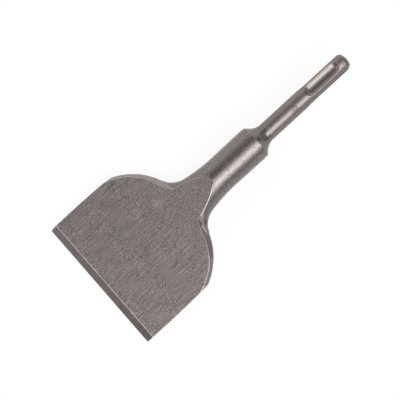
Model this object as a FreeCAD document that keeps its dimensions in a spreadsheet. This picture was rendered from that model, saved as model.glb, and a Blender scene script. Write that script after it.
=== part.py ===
import FreeCAD, Part
import math
import os

import Sketcher

# Wide chisel with a slotted hammer-drill shank, forged and ground from one bar of steel.
# It is drawn along its own axis: X runs from the cutting edge to the shank's end,
# Y across the blade and Z through its thickness. At the end it is laid down on the lower
# bevel ridge and the round body, as it comes to rest on a table.

# Driving sizes in millimetres and degrees
SIZES = {
    # Whole tool
    "overall_length": 171.5,
    # Blade with its bevels and ground sides
    "blade_width": 76.4,
    "edge_land": 0.2,
    "bevel_length": 3.8,
    "bevel_thickness": 3.0,
    "root_thickness": 4.4,
    "corner_radius": 0.8,
    "relief_start": 11.0,
    "relief_radius": 650.0,
    # Forged outline, before its sides are ground
    "side_stock": 2.56,
    "side_height": 5.4,
    "side_angle": 40.0,
    "shoulder_start": 27.2,
    "shoulder_radius": 35.1,
    "neck_radius": 12.4,
    "throat_radius": 88.5,
    "throat_end": 85.9,
    # Neck between the blade and the round body
    "neck_root": 58.2,
    "neck_root_inset": 4.0,
    "neck_overlap": 0.3,
    "neck_crest": 70.0,
    "neck_root_height": 2.86,
    # Flat ground on each broad side, with its tongue in the neck
    "ramp_start": 47.5,
    "ramp_radius": 30.0,
    "tongue_end": 79.1,
    # Round body and its collar end
    "body_diameter": 18.6,
    "collar_swell": 0.16,
    "collar_round_start": 105.3,
    "collar_drop": 0.22,
    "collar_end": 109.05,
    "cone_angle": 45.0,
    "cone_fillet": 8.0,
    # Shank with its closed ball grooves and open keyways
    "shank_diameter": 10.0,
    "end_crown_radius": 9.0,
    "end_edge_radius": 2.8,
    "groove_radius": 5.0,
    "groove_depth": 2.1,
    "groove_length": 22.4,
    "groove_to_end": 5.8,
    "keyway_floor": 3.7,
    "keyway_floor_width": 3.7,
    "keyway_flank_angle": 45.0,
    "keyway_length": 23.8,
    "keyway_cutter_radius": 16.0,
}

# Stations along the neck, as shares of the way from its root to the throat's end
NECK_SHARES = (0.11, 0.18, 0.25, 0.33, 0.43, 0.55, 0.68, 0.8, 0.92)

# How far the cutting sketches reach past the steel
MARGIN = 6.0

# Angle round the axis, in degrees, at which the round body and the shank have their seam
SEAM_ANGLE = 52.5

# The two ends and the centre of a line or an arc in a sketch
START, END, CENTRE = range(1, 4)
ORIGIN = (-1, START)
FIRST_AXIS, SECOND_AXIS = range(-1, -3, -1)

doc = FreeCAD.newDocument("WideChisel")


def make_sheet():
    """Spreadsheet with one row for each driving size."""
    sheet = doc.addObject("Spreadsheet::Sheet", "Sizes")
    for row, (name, value) in enumerate(SIZES.items(), start=1):
        sheet.set("A%d" % row, name)
        sheet.set("B%d" % row, str(value))
        sheet.setAlias("B%d" % row, name)
    doc.recompute()


def origin_item(body, role):
    """Plane or axis of the body's own origin."""
    return next(item for item in body.Origin.OriginFeatures if item.Role == role)


def polar(centre, radius, degrees):
    """Point at an angle round a centre."""
    turn = math.radians(degrees)
    return (centre[0] + radius * math.cos(turn), centre[1] + radius * math.sin(turn))


class Profile:
    """A sketch on an origin plane, with its dimensions bound to the sheet."""

    def __init__(self, body, name, plane, offset=None):
        self.sketch = body.newObject("Sketcher::SketchObject", name)
        self.sketch.AttachmentSupport = [(origin_item(body, plane), "")]
        self.sketch.MapMode = "FlatFace"
        if offset:
            self.sketch.setExpression("AttachmentOffset.Base.z", offset)

    def line(self, start, end, construction=False):
        ends = (FreeCAD.Vector(*start, 0), FreeCAD.Vector(*end, 0))
        return self.sketch.addGeometry(Part.LineSegment(*ends), construction)

    def lines(self, *points):
        """Chain of lines through the points, joined end to start."""
        chain = [self.line(*ends) for ends in zip(points, points[1:])]
        for first, second in zip(chain, chain[1:]):
            self.join((first, END), (second, START))
        return chain

    def arc(self, centre, radius, first, last):
        """Arc that runs anticlockwise from the first angle to the last, in degrees."""
        circle = Part.Circle(FreeCAD.Vector(*centre, 0), FreeCAD.Vector(0, 0, 1), radius)
        angles = (math.radians(first), math.radians(last))
        return self.sketch.addGeometry(Part.ArcOfCircle(circle, *angles), False)

    def relate(self, kind, *items):
        return self.sketch.addConstraint(Sketcher.Constraint(kind, *items))

    def join(self, first, second):
        self.relate("Coincident", *first, *second)

    def smooth(self, first, second):
        """Join two ends in one tangent point."""
        self.relate("Tangent", *first, *second)

    def dimension(self, name, formula, kind, *items):
        """One dimension, named and bound to a formula."""
        number = self.relate(kind, *items)
        self.sketch.renameConstraint(number, name)
        self.sketch.setExpression("Constraints." + name, formula)

    def place(self, name, end, along=None, up=None):
        """Place a point from the origin; a pair gives its coordinate and its formula.

        The formula gives the distance without its sign.
        """
        for kind, pair in (("DistanceX", along), ("DistanceY", up)):
            if pair is None:
                continue
            value, formula = pair
            items = (*ORIGIN, *end, value) if value > 0 else (*end, *ORIGIN, -value)
            self.dimension(name + kind[-1], formula, kind, *items)


def shoulder_circles():
    """Centres of the shoulder, neck and throat arcs, and the angles where they meet."""
    shoulder, neck, throat = (SIZES[name + "_radius"] for name in ("shoulder", "neck", "throat"))
    side = SIZES["blade_width"] / 2 + SIZES["side_stock"]
    tail = SIZES["body_diameter"] / 2 - SIZES["neck_overlap"]
    shoulder_centre = (SIZES["shoulder_start"], side - shoulder)
    throat_centre = (SIZES["throat_end"], tail + throat)
    across = shoulder_centre[0] - throat_centre[0]
    down = shoulder_centre[1] - throat_centre[1]
    apart = math.hypot(across, down)
    # The neck's centre is seen from both others: outside the shoulder, inside the throat
    near = throat - neck
    far = shoulder + neck
    spread = math.acos((apart**2 + near**2 - far**2) / (2 * apart * near))
    throat_angle = math.degrees(math.atan2(down, across) + spread) % 360
    neck_centre = polar(throat_centre, near, throat_angle)
    meeting = math.atan2(neck_centre[1] - shoulder_centre[1], neck_centre[0] - shoulder_centre[0])
    return shoulder_centre, neck_centre, throat_centre, math.degrees(meeting), throat_angle


def neck_station(share):
    """Formula of a station's distance from the cutting edge."""
    return "(Sizes.neck_root + %g * (Sizes.throat_end - Sizes.neck_root))" % share


def station_place(share):
    return SIZES["neck_root"] + share * (SIZES["throat_end"] - SIZES["neck_root"])


def draw_outline(body):
    """Plan of the forged blade: sides, shoulders, neck and throat, left and right."""
    plan = Profile(body, "BladeOutline", "XY_Plane")
    shoulder, neck, throat, meeting, throat_angle = shoulder_circles()
    side = SIZES["blade_width"] / 2 + SIZES["side_stock"]
    tail = SIZES["body_diameter"] / 2 - SIZES["neck_overlap"]
    side_formula = "Sizes.blade_width / 2 + Sizes.side_stock"
    tail_formula = "Sizes.body_diameter / 2 - Sizes.neck_overlap"
    sides = {}
    for name, sign in (("left", 1), ("right", -1)):
        first, last = (START, END) if sign > 0 else (END, START)

        def bend(centre, radius, one, other):
            angles = (one, other) if sign > 0 else (-other, -one)
            return plan.arc((centre[0], sign * centre[1]), radius, *angles)

        edge = plan.line((-MARGIN, sign * side), (shoulder[0], sign * side))
        shoulder_arc = bend(shoulder, SIZES["shoulder_radius"], meeting, 90)
        neck_arc = bend(neck, SIZES["neck_radius"], meeting + 180, throat_angle)
        throat_arc = bend(throat, SIZES["throat_radius"], throat_angle, 270)
        plan.relate("Horizontal", edge)
        plan.smooth((edge, END), (shoulder_arc, last))
        plan.smooth((shoulder_arc, first), (neck_arc, first))
        plan.smooth((neck_arc, last), (throat_arc, first))
        plan.relate("Vertical", throat_arc, last, throat_arc, CENTRE)
        plan.place(name + "_front", (edge, START), along=(-MARGIN, str(MARGIN)))
        plan.place(
            name + "_shoulder",
            (edge, END),
            along=(shoulder[0], "Sizes.shoulder_start"),
            up=(sign * side, side_formula),
        )
        plan.place(
            name + "_tail",
            (throat_arc, last),
            along=(throat[0], "Sizes.throat_end"),
            up=(sign * tail, tail_formula),
        )
        for arc_name, arc in (("shoulder", shoulder_arc), ("neck", neck_arc), ("throat", throat_arc)):
            radius = SIZES[arc_name + "_radius"]
            formula = "Sizes.%s_radius" % arc_name
            plan.dimension("%s_%s_radius" % (name, arc_name), formula, "Radius", arc, radius)
        sides[name] = (edge, neck_arc, throat_arc, last)
    left, right = sides["left"], sides["right"]
    front = plan.line((-MARGIN, side), (-MARGIN, -side))
    plan.join((front, START), (left[0], START))
    plan.join((front, END), (right[0], START))
    back = plan.line((throat[0], tail), (throat[0], -tail))
    plan.join((back, START), (left[2], left[3]))
    plan.join((back, END), (right[2], right[3]))

    # Half-widths that the neck's sections are taken from
    meeting_place = polar(throat, SIZES["throat_radius"], throat_angle)[0]
    for number, share in enumerate(NECK_SHARES, start=1):
        place = station_place(share)
        arc, centre, radius = left[1], neck, SIZES["neck_radius"]
        if place > meeting_place:
            arc, centre, radius = left[2], throat, SIZES["throat_radius"]
        height = centre[1] - math.sqrt(radius**2 - (place - centre[0]) ** 2)
        mark = plan.sketch.addGeometry(Part.Point(FreeCAD.Vector(place, height, 0)), True)
        plan.place("station_%d" % number, (mark, START), along=(place, neck_station(share)))
        plan.relate("PointOnObject", mark, START, arc)
        width = plan.relate("DistanceY", *ORIGIN, mark, START, height)
        plan.sketch.renameConstraint(width, "half_width_%d" % number)
        plan.sketch.setDriving(width, False)
    doc.recompute()
    return plan.sketch


def draw_bar(body):
    """Half section of the round body, the collar's cone and the shank.

    Its plane leans between the keyways and the ball grooves, so that no groove cuts the seam.
    """
    half = Profile(body, "BarSection", "XY_Plane")
    lean = FreeCAD.Rotation(FreeCAD.Vector(1, 0, 0), SEAM_ANGLE)
    half.sketch.AttachmentOffset = FreeCAD.Placement(FreeCAD.Vector(0, 0, 0), lean)
    body_radius = SIZES["body_diameter"] / 2
    collar_radius = body_radius + SIZES["collar_swell"]
    shank_radius = SIZES["shank_diameter"] / 2
    start = SIZES["throat_end"]
    round_start = (SIZES["collar_round_start"], collar_radius)
    cone_start = (SIZES["collar_end"], collar_radius - SIZES["collar_drop"])
    slope = math.radians(SIZES["cone_angle"])
    fillet = SIZES["cone_fillet"]
    cone_foot = shank_radius + fillet * (1 - math.cos(slope))
    cone_end = (cone_start[0] + (cone_start[1] - cone_foot) / math.tan(slope), cone_foot)
    fillet_centre = (cone_end[0] + fillet * math.sin(slope), shank_radius + fillet)
    crown, edge = SIZES["end_crown_radius"], SIZES["end_edge_radius"]
    crown_centre = (SIZES["overall_length"] - crown, 0)
    edge_rise = shank_radius - edge
    edge_centre = (crown_centre[0] + math.sqrt((crown - edge) ** 2 - edge_rise**2), edge_rise)
    edge_angle = math.degrees(math.asin(edge_rise / (crown - edge)))

    lower, front, swell = half.lines(
        (SIZES["overall_length"], 0), (start, 0), (start, body_radius), round_start
    )
    # The collar's edge is rounded on the radius that carries the body line to the arris
    reach, drop = cone_start[0] - round_start[0], SIZES["collar_drop"]
    round_radius = (reach**2 + drop**2) / (2 * drop)
    round_turn = math.degrees(math.asin(reach / round_radius))
    round_centre = (round_start[0], round_start[1] - round_radius)
    collar = half.arc(round_centre, round_radius, 90 - round_turn, 90)
    cone = half.line(cone_end, cone_start)
    root = half.arc(fillet_centre, fillet, 270 - SIZES["cone_angle"], 270)
    shank = half.line((fillet_centre[0], shank_radius), (edge_centre[0], shank_radius))
    rim = half.arc(edge_centre, edge, edge_angle, 90)
    cap = half.arc(crown_centre, crown, 0, edge_angle)

    half.smooth((swell, END), (collar, END))
    half.join((collar, START), (cone, END))
    half.smooth((cone, START), (root, START))
    half.smooth((root, END), (shank, START))
    half.smooth((shank, END), (rim, END))
    half.smooth((rim, START), (cap, END))
    half.join((cap, START), (lower, START))
    half.relate("PointOnObject", lower, START, FIRST_AXIS)
    half.relate("PointOnObject", lower, END, FIRST_AXIS)
    half.relate("PointOnObject", cap, CENTRE, FIRST_AXIS)
    half.relate("Vertical", front)
    half.relate("Horizontal", shank)
    half.place("tip", (lower, START), along=(SIZES["overall_length"], "Sizes.overall_length"))
    half.place(
        "body_front",
        (front, END),
        along=(start, "Sizes.throat_end"),
        up=(body_radius, "Sizes.body_diameter / 2"),
    )
    half.place(
        "collar_round",
        (swell, END),
        along=(round_start[0], "Sizes.collar_round_start"),
        up=(round_start[1], "Sizes.body_diameter / 2 + Sizes.collar_swell"),
    )
    half.place(
        "collar_arris",
        (cone, END),
        along=(cone_start[0], "Sizes.collar_end"),
        up=(
            cone_start[1],
            "Sizes.body_diameter / 2 + Sizes.collar_swell - Sizes.collar_drop",
        ),
    )
    half.place("shank", (shank, START), up=(shank_radius, "Sizes.shank_diameter / 2"))
    half.dimension("cone_angle", "180 - Sizes.cone_angle", "Angle", cone, math.pi - slope)
    half.dimension("cone_fillet", "Sizes.cone_fillet", "Radius", root, fillet)
    half.dimension("rim_radius", "Sizes.end_edge_radius", "Radius", rim, edge)
    half.dimension("crown_radius", "Sizes.end_crown_radius", "Radius", cap, crown)
    return half.sketch


def draw_neck_section(body, number, share):
    """Oval section of the neck, as wide as the outline and lower towards the blade."""
    place = station_place(share)
    station = neck_station(share)
    # Height falls from the crest to the root along a parabola
    body_radius, root_height = SIZES["body_diameter"] / 2, SIZES["neck_root_height"]
    crest_to_root = SIZES["neck_crest"] - SIZES["neck_root"]
    gap = max(SIZES["neck_crest"] - place, 0)
    height = body_radius - (body_radius - root_height) * (gap / crest_to_root) ** 2
    height_formula = (
        "Sizes.body_diameter / 2 - (Sizes.body_diameter / 2 - Sizes.neck_root_height)"
        " * pow(max(Sizes.neck_crest - %s; 0) / (Sizes.neck_crest - Sizes.neck_root); 2)" % station
    )
    if number:
        outline = doc.getObject("BladeOutline")
        half_width = outline.getDatum("half_width_%d" % number).Value
        width_formula = "BladeOutline.Constraints.half_width_%d / 1 mm + Sizes.neck_overlap" % number
        width = half_width + SIZES["neck_overlap"]
    else:
        side = SIZES["blade_width"] / 2 + SIZES["side_stock"] - SIZES["shoulder_radius"]
        shoulder = math.sqrt(SIZES["shoulder_radius"] ** 2 - (place - SIZES["shoulder_start"]) ** 2)
        width = side + shoulder - SIZES["neck_root_inset"]
        width_formula = (
            "Sizes.blade_width / 2 + Sizes.side_stock - Sizes.shoulder_radius"
            " + sqrt(pow(Sizes.shoulder_radius; 2)"
            " - pow(Sizes.neck_root - Sizes.shoulder_start; 2)) - Sizes.neck_root_inset"
        )
    section = Profile(body, "NeckSection%d" % number, "YZ_Plane", offset=station)
    ellipse = Part.Ellipse(FreeCAD.Vector(0, 0, 0), width, height)
    oval = section.sketch.addGeometry(ellipse, False)
    section.sketch.exposeInternalGeometry(oval)
    wide_axis, high_axis = oval + 1, oval + 2
    section.join((oval, CENTRE), ORIGIN)
    section.relate("Horizontal", wide_axis)
    section.dimension("width", "2 * (%s)" % width_formula, "Distance", wide_axis, 2 * width)
    section.dimension("height", "2 * (%s)" % height_formula, "Distance", high_axis, 2 * height)
    return section.sketch


def draw_neck_end(body):
    """Round section where the neck runs into the body."""
    section = Profile(body, "NeckEnd", "YZ_Plane", offset="Sizes.throat_end")
    radius = SIZES["body_diameter"] / 2
    circle = Part.Circle(FreeCAD.Vector(0, 0, 0), FreeCAD.Vector(0, 0, 1), radius)
    ring = section.sketch.addGeometry(circle, False)
    section.join((ring, CENTRE), ORIGIN)
    section.dimension("radius", "Sizes.body_diameter / 2", "Radius", ring, radius)
    return section.sketch


def draw_side_profile(body):
    """What is ground off one broad side: bevel, blade face and the ramp into the neck."""
    cut = Profile(body, "FaceProfile", "XZ_Plane")
    land = SIZES["edge_land"] / 2
    ridge = (SIZES["bevel_length"], SIZES["bevel_thickness"] / 2)
    root = (SIZES["ramp_start"], SIZES["root_thickness"] / 2)
    tongue = (SIZES["tongue_end"], SIZES["body_diameter"] / 2)
    top = SIZES["body_diameter"] / 2 + MARGIN
    face_slope = math.atan2(root[1] - ridge[1], root[0] - ridge[0])
    radius = SIZES["ramp_radius"]
    centre = (root[0] - radius * math.sin(face_slope), root[1] + radius * math.cos(face_slope))
    # The ramp leaves the arc along the tangent that runs through the tongue's end
    across, up = tongue[0] - centre[0], tongue[1] - centre[1]
    reach = math.hypot(across, up)
    ramp_slope = math.atan2(up, across) + math.asin(radius / reach)
    ramp_foot = polar(centre, radius, math.degrees(ramp_slope) - 90)
    ramp_top = (ramp_foot[0] + (top - ramp_foot[1]) / math.tan(ramp_slope), top)

    edge, bevel, face = cut.lines((0, -top), (0, land), ridge, root)
    hollow = cut.arc(centre, radius, 270 + math.degrees(face_slope), 270 + math.degrees(ramp_slope))
    ramp, upper, front, lower = cut.lines(
        ramp_foot, ramp_top, (-MARGIN, top), (-MARGIN, -top), (0, -top)
    )
    cut.smooth((face, END), (hollow, START))
    cut.smooth((hollow, END), (ramp, START))
    cut.join((lower, END), (edge, START))
    cut.relate("Vertical", edge)
    cut.relate("Vertical", front)
    cut.relate("Horizontal", upper)
    cut.relate("Horizontal", lower)
    cut.relate("PointOnObject", edge, END, SECOND_AXIS)
    top_formula = "Sizes.body_diameter / 2 + %g" % MARGIN
    cut.place("bottom", (edge, START), up=(-top, top_formula))
    cut.place("land", (edge, END), up=(land, "Sizes.edge_land / 2"))
    cut.place(
        "ridge",
        (bevel, END),
        along=(ridge[0], "Sizes.bevel_length"),
        up=(ridge[1], "Sizes.bevel_thickness / 2"),
    )
    cut.place(
        "root",
        (face, END),
        along=(root[0], "Sizes.ramp_start"),
        up=(root[1], "Sizes.root_thickness / 2"),
    )
    cut.place("top", (ramp, END), up=(top, top_formula))
    cut.place("front", (front, START), along=(-MARGIN, str(MARGIN)))
    cut.dimension("ramp_radius", "Sizes.ramp_radius", "Radius", hollow, radius)
    mark = cut.sketch.addGeometry(Part.Point(FreeCAD.Vector(*tongue, 0)), True)
    cut.relate("PointOnObject", mark, START, ramp)
    cut.place(
        "tongue",
        (mark, START),
        along=(tongue[0], "Sizes.tongue_end"),
        up=(tongue[1], "Sizes.body_diameter / 2"),
    )
    return cut.sketch


def draw_side_limit(body):
    """What is ground off one side of the blade, with its corner and its relief."""
    cut = Profile(body, "SideLimit", "XY_Plane")
    side = SIZES["blade_width"] / 2
    corner = SIZES["corner_radius"]
    relief_start, relief = SIZES["relief_start"], SIZES["relief_radius"]
    outer = side + SIZES["side_stock"] + MARGIN
    relief_end = SIZES["neck_root"]
    turn = math.degrees(math.asin((relief_end - relief_start) / relief))
    relief_low = side - relief + relief * math.cos(math.radians(turn))

    lead, = cut.lines((-MARGIN, side - corner), (0, side - corner))
    nose = cut.arc((corner, side - corner), corner, 90, 180)
    flank = cut.line((corner, side), (relief_start, side))
    hollow = cut.arc((relief_start, side - relief), relief, 90 - turn, 90)
    back, upper, front = cut.lines(
        (relief_end, relief_low), (relief_end, outer), (-MARGIN, outer), (-MARGIN, side - corner)
    )
    cut.join((lead, END), (nose, END))
    cut.smooth((nose, START), (flank, START))
    cut.smooth((flank, END), (hollow, END))
    cut.join((hollow, START), (back, START))
    cut.join((front, END), (lead, START))
    cut.relate("Horizontal", lead)
    cut.relate("Horizontal", flank)
    cut.relate("Horizontal", upper)
    cut.relate("Vertical", back)
    cut.relate("Vertical", front)
    cut.relate("Horizontal", nose, END, nose, CENTRE)
    cut.relate("PointOnObject", lead, END, SECOND_AXIS)
    cut.place("front", (front, END), along=(-MARGIN, str(MARGIN)))
    cut.place(
        "relief",
        (flank, END),
        along=(relief_start, "Sizes.relief_start"),
        up=(side, "Sizes.blade_width / 2"),
    )
    cut.place(
        "outer",
        (back, END),
        along=(relief_end, "Sizes.neck_root"),
        up=(outer, "Sizes.blade_width / 2 + Sizes.side_stock + %g" % MARGIN),
    )
    cut.dimension("corner_radius", "Sizes.corner_radius", "Radius", nose, corner)
    cut.dimension("relief_radius", "Sizes.relief_radius", "Radius", hollow, relief)
    return cut.sketch


def draw_ball_groove(body):
    """Half of the capsule that a closed ball groove is turned from."""
    cut = Profile(body, "BallGrooveSection", "XZ_Plane")
    radius, depth = SIZES["groove_radius"], SIZES["groove_depth"]
    height = SIZES["shank_diameter"] / 2 - depth + radius
    mouth = math.sqrt(2 * radius * depth - depth**2)
    last = SIZES["overall_length"] - SIZES["groove_to_end"] - mouth
    first = last - SIZES["groove_length"] + 2 * mouth
    height_formula = "Sizes.shank_diameter / 2 - Sizes.groove_depth + Sizes.groove_radius"
    mouth_formula = "sqrt(2 * Sizes.groove_radius * Sizes.groove_depth - pow(Sizes.groove_depth; 2))"
    last_formula = "Sizes.overall_length - Sizes.groove_to_end - " + mouth_formula
    first_formula = "Sizes.overall_length - Sizes.groove_to_end - Sizes.groove_length + " + mouth_formula

    near = cut.arc((first, height), radius, 180, 270)
    floor = cut.line((first, height - radius), (last, height - radius))
    far = cut.arc((last, height), radius, 270, 360)
    spine = cut.line((last + radius, height), (first - radius, height))
    axis = cut.line((first, height), (last, height), construction=True)
    cut.smooth((near, END), (floor, START))
    cut.smooth((floor, END), (far, START))
    cut.join((far, END), (spine, START))
    cut.join((spine, END), (near, START))
    cut.relate("Horizontal", floor)
    cut.relate("Horizontal", spine)
    cut.join((axis, START), (near, CENTRE))
    cut.join((axis, END), (far, CENTRE))
    cut.relate("Horizontal", axis)
    cut.relate("PointOnObject", spine, START, axis)
    cut.place("first", (near, CENTRE), along=(first, first_formula), up=(height, height_formula))
    cut.place("last", (far, CENTRE), along=(last, last_formula))
    cut.dimension("radius", "Sizes.groove_radius", "Radius", near, radius)
    return cut.sketch


def draw_keyway(body):
    """Section of one open keyway where its full depth begins, with the axis of its cutter."""
    full_depth = "Sizes.overall_length - Sizes.keyway_length"
    cut = Profile(body, "KeywaySection", "YZ_Plane", offset=full_depth)
    floor_height = SIZES["keyway_floor"]
    outer = SIZES["shank_diameter"] / 2 + 1
    half_floor = SIZES["keyway_floor_width"] / 2
    flank_angle = math.radians(SIZES["keyway_flank_angle"])
    half_mouth = half_floor + (outer - floor_height) * math.tan(flank_angle)
    axis_height = floor_height + SIZES["keyway_cutter_radius"]

    floor, flank, mouth, opposite = cut.lines(
        (floor_height, -half_floor),
        (floor_height, half_floor),
        (outer, half_mouth),
        (outer, -half_mouth),
        (floor_height, -half_floor),
    )
    axis = cut.line((axis_height, -half_floor), (axis_height, half_floor), construction=True)
    cut.join((opposite, END), (floor, START))
    for line in (floor, mouth, axis):
        cut.relate("Symmetric", line, START, line, END, FIRST_AXIS)
    half_width = (half_floor, "Sizes.keyway_floor_width / 2")
    cut.place("floor", (floor, END), along=(floor_height, "Sizes.keyway_floor"), up=half_width)
    cut.dimension("flank_angle", "Sizes.keyway_flank_angle", "Angle", flank, flank_angle)
    cut.place("mouth", (flank, END), along=(outer, "Sizes.shank_diameter / 2 + 1"))
    cut.place(
        "axis",
        (axis, END),
        along=(axis_height, "Sizes.keyway_floor + Sizes.keyway_cutter_radius"),
        up=half_width,
    )
    return cut.sketch


def add(body, kind, name, **settings):
    """Add a feature to the body, set it up and compute it."""
    feature = body.newObject("PartDesign::" + kind, name)
    for key, value in settings.items():
        setattr(feature, key, value)
    body.Tip = feature
    doc.recompute()
    return feature


def mirror(body, name, plane, *features):
    plane_item = (origin_item(body, plane), [""])
    return add(body, "Mirrored", name, Originals=list(features), MirrorPlane=plane_item)


def shape_chisel(body):
    """Forge the blank, then grind and cut it."""
    outline = draw_outline(body)
    bar = draw_bar(body)
    add(body, "Revolution", "RoundBar", Profile=bar, ReferenceAxis=(bar, ["H_Axis"]), Angle=360)

    sections = [draw_neck_section(body, 0, 0)]
    sections += [draw_neck_section(body, n, share) for n, share in enumerate(NECK_SHARES, start=1)]
    end = draw_neck_end(body)
    doc.recompute()
    add(body, "AdditiveLoft", "Neck", Profile=end, Sections=sections[::-1])

    blade = add(body, "Pad", "Blade", Profile=outline, SideType="Two sides")
    for which in ("", "2"):
        blade.setExpression("Length" + which, "Sizes.side_height")
        blade.setExpression("TaperAngle" + which, "-Sizes.side_angle")
    doc.recompute()

    faces = draw_side_profile(body)
    ground = add(body, "Pocket", "UpperFace", Profile=faces, SideType="Symmetric", Type="ThroughAll")
    mirror(body, "LowerFace", "XY_Plane", ground)

    limit = draw_side_limit(body)
    side = add(body, "Pocket", "LeftSide", Profile=limit, SideType="Symmetric", Type="ThroughAll")
    mirror(body, "RightSide", "XZ_Plane", side)

    capsule = draw_ball_groove(body)
    axis = (capsule, ["Axis0"])
    groove = add(body, "Groove", "BallGroove", Profile=capsule, ReferenceAxis=axis, Angle=360)
    mirror(body, "OppositeBallGroove", "XY_Plane", groove)

    # The cutter sinks in on its radius and then runs straight to the shank's end
    section = draw_keyway(body)
    axis = (section, ["Axis0"])
    sink = add(body, "Groove", "KeywayRunOut", Profile=section, ReferenceAxis=axis, Angle=360)
    keyway = add(body, "Pocket", "Keyway", Profile=section, Type="Length", Reversed=True)
    keyway.setExpression("Length", "Sizes.keyway_length + %g" % MARGIN)
    doc.recompute()
    mirror(body, "OppositeKeyway", "XZ_Plane", sink, keyway)


def lay_down(body):
    """Rest the chisel on the lower bevel ridge and the end of the lower tongue."""
    tilt = (
        "atan((Sizes.body_diameter - Sizes.bevel_thickness) / 2"
        " / (Sizes.tongue_end - Sizes.bevel_length))"
    )
    cosine, sine = "cos(%s)" % tilt, "sin(%s)" % tilt
    reach = (
        "((Sizes.overall_length - Sizes.end_crown_radius) * %s + Sizes.end_crown_radius"
        " - Sizes.edge_land / 2 * %s)" % (cosine, sine)
    )
    lift = "Sizes.bevel_thickness / 2 * %s - Sizes.bevel_length * %s" % (cosine, sine)
    # The angle is set by its formula; only the axis counts here
    turn = FreeCAD.Rotation(FreeCAD.Vector(0, -1, 0), 1)
    body.Placement = FreeCAD.Placement(FreeCAD.Vector(0, 0, 0), turn)
    body.setExpression("Placement.Rotation.Angle", tilt)
    body.setExpression("Placement.Base.x", "-%s / 2" % reach)
    body.setExpression("Placement.Base.z", lift)
    doc.recompute()


def check_and_write(body):
    """Stop on anything that failed, then write the part."""
    for item in doc.Objects:
        if "Invalid" in item.State or "Error" in item.State:
            raise RuntimeError("%s failed: %s" % (item.Name, item.State))
    shape = body.Shape
    if shape.isNull() or not shape.isValid() or len(shape.Solids) != 1:
        raise RuntimeError("%s is not one valid solid" % body.Label)
    os.makedirs("parts", exist_ok=True)
    shape.exportStep("parts/%s.step" % body.Label)
    print(body.Label, "volume", round(shape.Volume, 1), "box", shape.BoundBox)


make_sheet()
chisel = doc.addObject("PartDesign::Body", "Chisel")
chisel.Label = "wide_chisel"
shape_chisel(chisel)
lay_down(chisel)
check_and_write(chisel)
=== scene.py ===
import math

import bpy
from mathutils import Matrix, Vector

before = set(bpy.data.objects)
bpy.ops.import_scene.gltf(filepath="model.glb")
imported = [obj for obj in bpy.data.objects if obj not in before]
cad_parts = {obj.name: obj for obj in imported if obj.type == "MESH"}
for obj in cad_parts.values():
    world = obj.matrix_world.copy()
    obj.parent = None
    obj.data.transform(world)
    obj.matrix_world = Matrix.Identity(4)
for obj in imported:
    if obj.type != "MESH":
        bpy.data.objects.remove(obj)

scene = bpy.context.scene
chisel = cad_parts["wide_chisel"]
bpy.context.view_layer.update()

# Places along the tool from its cutting edge, in millimetres
BEVEL_END = 3.8
SIDES_END = 52
FLANK_END = 62
ROOT_END = 62.8
NECK_END = 79
TONGUE_END = 79.1
COLLAR_END = 109.2
CONE_END = 116.7
GROOVE_END = 170

# The tool's own axes in the row frame: X from the cutting edge to the tip, Z through the blade.
# It lies on the ridge of the lower bevel and on the end of the lower tongue.
BODY_THICKNESS = 18.6
RIDGE_THICKNESS = 3.0
TILT = math.atan((BODY_THICKNESS - RIDGE_THICKNESS) / 2 / (TONGUE_END - BEVEL_END))
TOOL_X = Vector((math.cos(TILT), 0, math.sin(TILT)))
TOOL_Z = Vector((-math.sin(TILT), 0, math.cos(TILT)))
TOOL_ORIGIN = Vector((-0.0853124, 0, 0.00110049))

# Camera at the photograph's angle, with the tool's axis rising to the upper right. The places
# are in millimetres along the tool's own axes, and the turn is in degrees.
CAMERA_EYE = (70.61, -74.29, 432.63)
CAMERA_TARGET = (67.784, -2.667, 0)
CAMERA_TURN = 42.492
CAMERA_LENS = 77.192

# Softboxes and dark cards round the tool, as brightness by angle round the tool's axis. The
# angle starts at the viewer's side, and towards the right edge in the photograph is positive.
STUDIO = (
    (-180, 1.0), (-100, 1.1), (-75, 1.15), (-56, 0.95), (-47, 0.46), (-14, 0.42), (-6, 0.9),
    (4, 1.4), (14, 3.2), (26, 4.6), (36, 4.1), (48, 1.6), (60, 0.75), (75, 0.5), (90, 0.52),
    (114, 0.9), (180, 1.0),
)
BRIGHTEST = 5.0
STUDIO_LEAN = 7.9
# The card beyond the cutting edge, by the same angle
EDGE_CARD = (
    (-180, 1.0), (-50, 1.2), (-30, 0.85), (-22, 0.5), (-12, 0.38), (133, 0.38), (150, 0.8),
    (180, 1.0),
)
# Where the card beyond the tip reaches, by the same angle, with its level and the level of the
# smaller card in its middle
TIP_CARD = ((-180, 0.0), (-12.6, 0.0), (-5.4, 1.0), (133.2, 1.0), (144, 0.0), (180, 0.0))
TIP_LEVEL = 0.5
MIDDLE_LEVEL = 0.64

FLOOR_REACH = 3
FLOOR_GLOW = 0.9

# Pitches of the steel's grain, specks and patches, per millimetre
GRAIN_PITCH = 3.6
SPECK_PITCH = 1.3
PATCH_PITCH = 0.16
GRAIN_SHARE = 0.75

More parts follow.
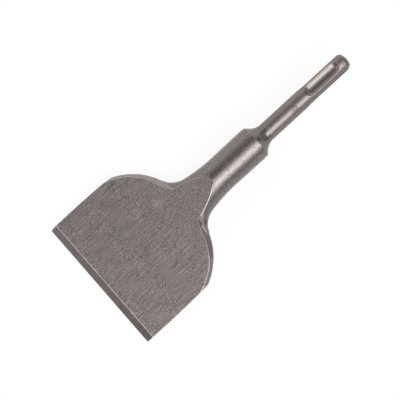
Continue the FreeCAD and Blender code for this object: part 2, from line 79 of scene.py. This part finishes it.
# Finishes of the steel. 'stretch' is the pitch of the grinding lines along the tool's three
# axes, per millimetre. 'grain' and 'patches' say how much these change the colour. 'wear_and_glint'
# is how much lighter the arrises are, partly worn metal and partly a painted highlight, and 'ridge'
# a painted highlight line between bevel and face. 'height' is the grain's relief and 'corner' the
# radius of the arrises, both in millimetres. 'marks' are scuffs, each with its middle and its reach,
# and the groove's mark is a painted reflected spot. The finish on the neck's root is painted shade.
FINISHES = {
    "ground": dict(
        colour=(0.232, 0.207, 0.200), rough=0.5, stretch=(0.12, 3.2, 3.2), grain=3.9,
        patches=0.04, height=0.007, wear_and_glint=0.2, ridge=2.1,
        marks=[((27.8, 9.2, 1.6), 1.4), ((50.6, 10.5, 2.4), 4.0)],
    ),
    "edge": dict(
        colour=(0.215, 0.191, 0.185), rough=0.32, stretch=(0.5, 2.2, 2.2), grain=0.8,
        patches=0.06, height=0.004, wear_and_glint=0.3, ridge=2.1,
    ),
    "sides": dict(
        colour=(0.29, 0.258, 0.25), rough=0.35, stretch=(0.5, 0.9, 2.5), grain=0.6,
        patches=0.15, height=0.004, wear_and_glint=2.8, corner=0.5,
    ),
    "flank": dict(
        colour=(0.30, 0.267, 0.259), rough=0.38, stretch=(0.9, 0.9, 0.9), grain=1.2,
        patches=0.1, height=0.03, wear_and_glint=0.0,
    ),
    # Painted shade: a dark copy of the forged steel for the right flank at the neck's root
    "root": dict(
        colour=(0.12, 0.107, 0.104), rough=0.42, stretch=(1.1, 1.1, 1.1), grain=0.6,
        patches=0.2, height=0.02, wear_and_glint=0.8,
    ),
    "forged": dict(
        colour=(0.20, 0.178, 0.172), rough=0.32, stretch=(1.5, 1.5, 1.5), grain=1.2,
        patches=0.08, height=0.06, wear_and_glint=1.2, corner=1.2,
    ),
    "turned": dict(
        colour=(0.20, 0.178, 0.172), rough=0.2, stretch=(1.4, 1.4, 1.4), grain=2.2,
        patches=0.04, height=0.09, wear_and_glint=0.8,
    ),
    "cone": dict(
        colour=(0.18, 0.161, 0.156), rough=0.18, stretch=(2.0, 1.0, 1.0), grain=0.4,
        patches=0.1, height=0.008, wear_and_glint=1.8,
    ),
    "shank": dict(
        colour=(0.213, 0.19, 0.184), rough=0.37, stretch=(0.3, 1.2, 1.2), grain=0.7,
        patches=0.1, height=0.03, wear_and_glint=1.3,
        marks=[((134.0, -1.9, 4.6), 2.5), ((168.8, -1.5, 4.4), 2.0)],
    ),
    "groove": dict(
        colour=(0.20, 0.178, 0.172), rough=0.24, stretch=(0.3, 1.2, 1.2), grain=0.5,
        patches=0.1, height=0.01, wear_and_glint=1.1,
        # The groove's mark is a painted reflection: a small bright spot near its end by the tip
        marks=[((164.2, 0.1, 3.3), 1.2)],
    ),
}


def from_tool(x, y, z):
    """Point given in millimetres along the tool's own axes."""
    return TOOL_ORIGIN + (TOOL_X * x + Vector((0, y, 0)) + TOOL_Z * z) / 1000


def in_tool(v, point=True):
    """Point in millimetres, or direction, along the tool's own axes."""
    if point:
        v = (v - TOOL_ORIGIN) * 1000
    return Vector((v.dot(TOOL_X), v.y, v.dot(TOOL_Z)))


def add_camera():
    eye = from_tool(*CAMERA_EYE)
    forward = (from_tool(*CAMERA_TARGET) - eye).normalized()
    along = (TOOL_X - forward * forward.dot(TOOL_X)).normalized()
    across = forward.cross(along)
    turn = math.radians(CAMERA_TURN)
    right = along * math.cos(turn) + across * math.sin(turn)
    up = right.cross(forward)
    data = bpy.data.cameras.new("camera")
    data.sensor_width = 36
    data.lens = CAMERA_LENS
    cam = bpy.data.objects.new("camera", data)
    scene.collection.objects.link(cam)
    place = Matrix((right, up, -forward)).transposed().to_4x4()
    place.translation = eye
    cam.matrix_world = place
    scene.camera = cam


class Nodes:
    """Short calls for a node tree."""

    def __init__(self, tree):
        self.tree = tree

    def add(self, kind, *inputs, **settings):
        node = self.tree.nodes.new(kind)
        for key, value in settings.items():
            setattr(node, key, value)
        for number, value in enumerate(inputs):
            self.feed(node, number, value)
        return node

    def feed(self, node, key, value):
        if isinstance(value, bpy.types.NodeSocket):
            self.tree.links.new(value, node.inputs[key])
        else:
            node.inputs[key].default_value = value

    def math(self, operation, *inputs, clamp=False):
        return self.add("ShaderNodeMath", *inputs, operation=operation, use_clamp=clamp).outputs[0]

    def product(self, first, *others):
        for other in others:
            first = self.math("MULTIPLY", first, other)
        return first

    def vary(self, value, amount, base, clamp=False):
        """Base, raised or lowered as the value lies above or below a half."""
        return self.math("MULTIPLY_ADD", self.math("SUBTRACT", value, 0.5), amount, base, clamp=clamp)

    def vector(self, operation, *inputs):
        node = self.add("ShaderNodeVectorMath", *inputs, operation=operation)
        return node.outputs["Value" if operation in ("DOT_PRODUCT", "DISTANCE") else 0]

    def by_angle(self, share, table, top=1.0):
        """Levels by angle, as shares of the top level."""
        node = self.add("ShaderNodeValToRGB", share)
        points = node.color_ramp.elements
        while len(points) < len(table):
            points.new(0.5)
        for point, (degrees, level) in zip(points, table):
            point.position = (degrees + 180) / 360
            point.color = (level / top, level / top, level / top, 1)
        return node.outputs[0]

    def step(self, value, low, high):
        """Smooth step from 0 at low to 1 at high."""
        node = self.add("ShaderNodeMapRange", value, low, high, 0.0, 1.0)
        node.interpolation_type = "SMOOTHSTEP"
        return node.outputs[0]

    def noise(self, vector, scale, detail=2.0, roughness=0.5):
        node = self.add("ShaderNodeTexNoise")
        self.feed(node, "Vector", vector)
        self.feed(node, "Scale", scale)
        self.feed(node, "Detail", detail)
        self.feed(node, "Roughness", roughness)
        return node.outputs[0]

    def mix(self, share, first, second, blend="MIX"):
        node = self.add("ShaderNodeMix", data_type="RGBA", blend_type=blend)
        self.feed(node, 0, share)
        for key, value in ((6, first), (7, second)):
            if isinstance(value, float):
                value = (value, value, value, 1)
            self.feed(node, key, value)
        return node.outputs[2]


def add_world():
    world = bpy.data.worlds.new("studio")
    scene.world = world
    world.use_nodes = True
    n = Nodes(world.node_tree)
    lean = math.radians(STUDIO_LEAN)
    side = Vector((0, -1, 0))
    ahead = TOOL_Z * math.cos(lean) + side * math.sin(lean)
    aside = side * math.cos(lean) - TOOL_Z * math.sin(lean)
    way = n.add("ShaderNodeTexCoord").outputs["Generated"]
    along = n.vector("DOT_PRODUCT", way, tuple(TOOL_X))
    up = n.vector("DOT_PRODUCT", way, tuple(ahead))
    out = n.vector("DOT_PRODUCT", way, tuple(aside))
    share = n.math("MULTIPLY_ADD", n.math("ARCTAN2", out, up), 0.5 / math.pi, 0.5)
    lit = n.by_angle(share, STUDIO, BRIGHTEST)
    tip_card = n.product(n.step(along, 0.42, 0.56), n.by_angle(share, TIP_CARD))
    lit = n.mix(tip_card, lit, TIP_LEVEL / BRIGHTEST)
    middle_card = n.product(
        n.step(out, -0.32, -0.22), n.step(out, 0.5, 0.42), n.step(up, -0.34, -0.24),
        n.step(along, 0.5, 0.62),
    )
    lit = n.mix(middle_card, lit, MIDDLE_LEVEL / BRIGHTEST)
    lit = n.mix(n.step(along, -0.54, -0.64), lit, n.by_angle(share, EDGE_CARD, BRIGHTEST))
    background = world.node_tree.nodes["Background"]
    n.feed(background, "Color", lit)
    background.inputs["Strength"].default_value = BRIGHTEST
    plain = n.add("ShaderNodeBackground", (1, 1, 1, 1), 1.0)
    seen = n.add("ShaderNodeLightPath").outputs["Is Camera Ray"]
    both = n.add("ShaderNodeMixShader", seen, background.outputs[0], plain.outputs[0])
    n.feed(world.node_tree.nodes["World Output"], 0, both.outputs[0])


def add_floor():
    mesh = bpy.data.meshes.new("floor")
    corners = [(x * FLOOR_REACH, y * FLOOR_REACH, 0) for x, y in ((-1, -1), (1, -1), (1, 1), (-1, 1))]
    mesh.from_pydata(corners, [], [(0, 1, 2, 3)])
    floor = bpy.data.objects.new("floor", mesh)
    scene.collection.objects.link(floor)
    material = bpy.data.materials.new("floor_white")
    material.use_nodes = True
    n = Nodes(material.node_tree)
    paper = n.add("ShaderNodeBsdfDiffuse", (0.88, 0.88, 0.88, 1))
    glow = n.add("ShaderNodeEmission", (1, 1, 1, 1), 1.0)
    rays = n.add("ShaderNodeLightPath")
    seen = n.math("MAXIMUM", rays.outputs["Is Camera Ray"], rays.outputs["Is Glossy Ray"])
    seen = n.math("MAXIMUM", seen, rays.outputs["Is Transmission Ray"])
    share = n.math("MULTIPLY", seen, FLOOR_GLOW)
    both = n.add("ShaderNodeMixShader", share, paper.outputs[0], glow.outputs[0])
    n.feed(material.node_tree.nodes["Material Output"], 0, both.outputs[0])
    mesh.materials.append(material)


def tool_place(n):
    """Place on the tool in millimetres along its own axes."""
    turn = Matrix((TOOL_X, (0, 1, 0), TOOL_Z))
    shift = turn @ TOOL_ORIGIN * -1000
    coords = n.add("ShaderNodeTexCoord").outputs["Object"]
    size = (1000, 1000, 1000)
    return n.add("ShaderNodeMapping", coords, tuple(shift), (0, TILT, 0), size).outputs[0]


def scuff_glint_spots(n, place, marks):
    """Broken patches inside the reach of each mark: scuffs, and painted reflected spots."""
    near = None
    for middle, reach in marks:
        spot = n.step(n.vector("DISTANCE", place, middle), reach, reach * 0.3)
        near = spot if near is None else n.math("MAXIMUM", near, spot)
    broken = n.noise(n.vector("MULTIPLY", place, (1.2, 2.4, 2.4)), 1.0, 3.0)
    return n.product(n.step(broken, 0.5, 0.62), near)


def steel(name, colour, rough, stretch, grain, patches, height, wear_and_glint,
          corner=0.35, marks=(), ridge=0.0):
    material = bpy.data.materials.new(name)
    material.use_nodes = True
    n = Nodes(material.node_tree)
    shader = material.node_tree.nodes["Principled BSDF"]
    place = tool_place(n)
    lines = n.noise(n.vector("MULTIPLY", place, stretch), 1.0, 3.0, 0.6)
    grains = n.math("MULTIPLY", n.noise(place, GRAIN_PITCH, 2.0, 0.75), GRAIN_SHARE)
    fine = n.math("MULTIPLY_ADD", lines, 1 - GRAIN_SHARE, grains)
    broad = n.noise(place, PATCH_PITCH, 3.0)
    specks = n.step(n.noise(place, SPECK_PITCH, 2.0), 0.66, 0.76)
    soft = n.add("ShaderNodeBevel", corner / 1000, samples=6).outputs[0]
    flat = n.add("ShaderNodeNewGeometry").outputs["Normal"]
    arris = n.step(n.vector("DOT_PRODUCT", soft, flat), 0.9995, 0.98)

    gain = n.vary(fine, grain * 2, 1.0)
    gain = n.vary(broad, patches * 2, gain)
    gain = n.math("MULTIPLY_ADD", specks, 0.25, gain)
    # Lighter arrises: partly worn bare metal, partly a painted highlight along the rounded edges
    gain = n.math("MULTIPLY_ADD", arris, wear_and_glint, gain)
    if ridge:
        # Painted highlight line on the ridge between bevel and face
        ahead = n.add("ShaderNodeSeparateXYZ", place).outputs[0]
        off = n.math("ABSOLUTE", n.math("SUBTRACT", ahead, BEVEL_END))
        gain = n.math("MULTIPLY_ADD", n.step(off, 0.27, 0.06), ridge, gain)
    high = fine
    if marks:
        scuff_and_glint = scuff_glint_spots(n, place, marks)
        # Marks lighten and roughen the surface: scuffs, and the groove's painted reflected spot
        gain = n.math("MULTIPLY_ADD", scuff_and_glint, 0.5, gain)
        high = n.math("MULTIPLY_ADD", scuff_and_glint, 9.0, fine)

    n.feed(shader, "Base Color", n.mix(1.0, (*colour, 1), gain, "MULTIPLY"))
    n.feed(shader, "Roughness", n.vary(fine, 0.3, n.vary(broad, 0.3, rough), clamp=True))
    n.feed(shader, "Metallic", 1.0)
    bump = n.add("ShaderNodeBump")
    n.feed(bump, "Strength", 1.0)
    n.feed(bump, "Distance", height / 1000)
    n.feed(bump, "Height", high)
    n.feed(bump, "Normal", soft)
    n.feed(shader, "Normal", bump.outputs[0])
    return material


def region(place, normal):
    """Which finish a face has, from its place and its normal along the tool's axes."""
    if place.x < BEVEL_END + 0.1 and abs(normal.x) > 0.2:
        return "edge"
    if abs(normal.z) > 0.955 and place.x < TONGUE_END + 0.2:
        return "ground"
    if place.x < SIDES_END and abs(normal.z) > 0.5 and abs(place.y) > 20:
        return "sides"
    if place.x < FLANK_END and place.y > 9 and normal.x > 0.5 < normal.z:
        return "flank"
    # The right flank at the neck's root gets the painted shade finish
    if place.x < ROOT_END and -22 < place.y < -9 and normal.z > 0 and normal.x < 0.6:
        return "root"
    if place.x < NECK_END:
        return "forged"
    if place.x < COLLAR_END:
        return "turned"
    if place.x < CONE_END:
        return "cone"
    if math.hypot(place.y, place.z) < 4.9 and place.x < GROOVE_END:
        return "groove"
    return "shank"


def dress(ob):
    names = list(FINISHES)
    mesh = ob.data
    mesh.materials.clear()
    for name in names:
        mesh.materials.append(steel(name, **FINISHES[name]))
    for face in mesh.polygons:
        face.material_index = names.index(region(in_tool(face.center), in_tool(face.normal, False)))


add_camera()
add_world()
add_floor()
dress(chisel)

scene.view_settings.view_transform = "Standard"
